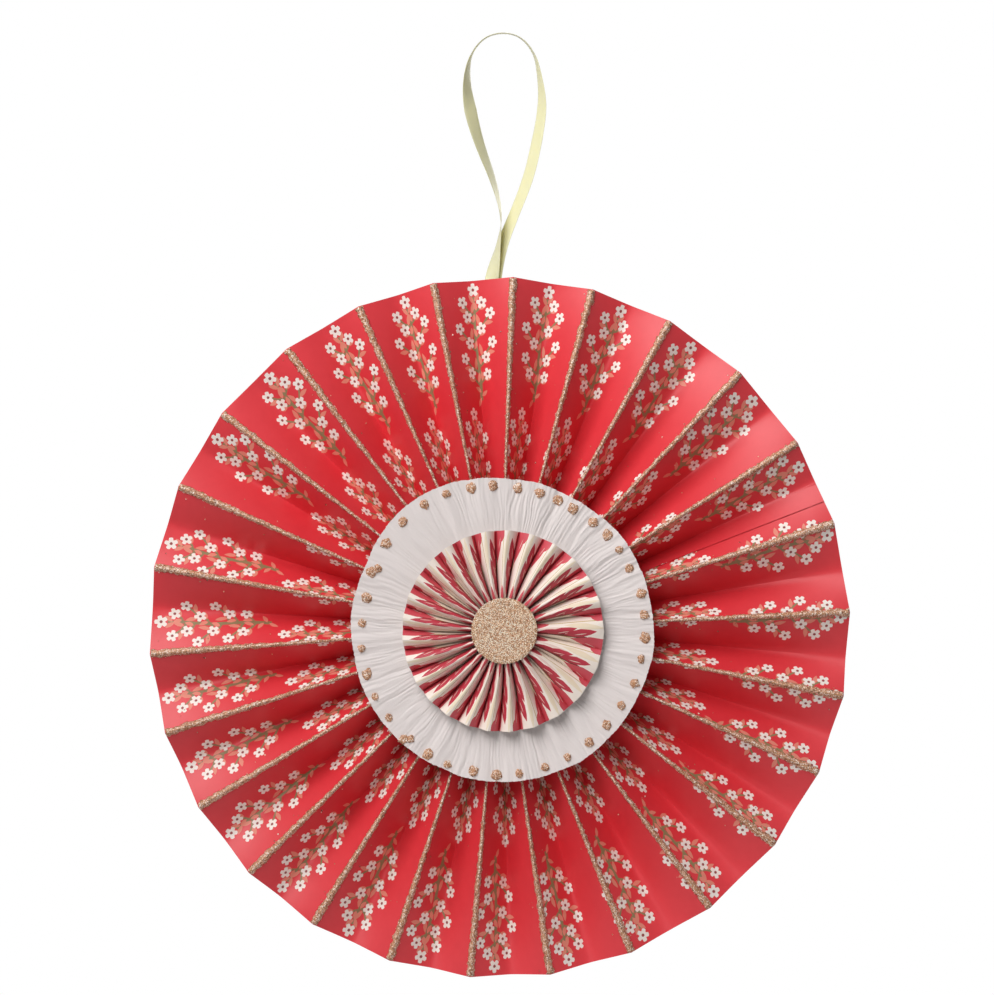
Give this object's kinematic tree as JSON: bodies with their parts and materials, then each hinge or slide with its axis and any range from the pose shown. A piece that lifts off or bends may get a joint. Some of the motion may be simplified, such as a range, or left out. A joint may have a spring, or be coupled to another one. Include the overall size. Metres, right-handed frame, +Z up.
{
  "type": "paper fan medallion",
  "caption": "Round hanging medallion of pleated paper: a wide folded fan, a gathered crepe ruffle, a small folded fan and a glittered centre, on a ribbon loop.",
  "frame": {"origin": "middle of the back card's rear face, on the wall", "axes": "+Z up towards the ribbon loop, +Y into the wall, +X to the right as seen from the front; the medallion faces -Y"},
  "size_m": [0.2978, 0.0305, 0.405],
  "materials": {
    "red_printed_paper": "matt",
    "cream_printed_paper": "matt",
    "white_crepe_paper": "matt",
    "copper_glitter_glue": "gloss",
    "glitter_card": "gloss",
    "white_card": "matt",
    "satin_ribbon": "satin"
  },
  "bodies": {
    "root": {"outer_fan_long_strip": "red_printed_paper", "outer_fan_short_strip": "red_printed_paper", "fold_glitter": "copper_glitter_glue", "crepe_ruffle": "white_crepe_paper", "crepe_glitter_dots": "copper_glitter_glue", "inner_fan": "cream_printed_paper", "centre_disc": "glitter_card", "back_disc": "white_card", "ribbon_loop": "satin_ribbon"}
  },
  "joints": []
}
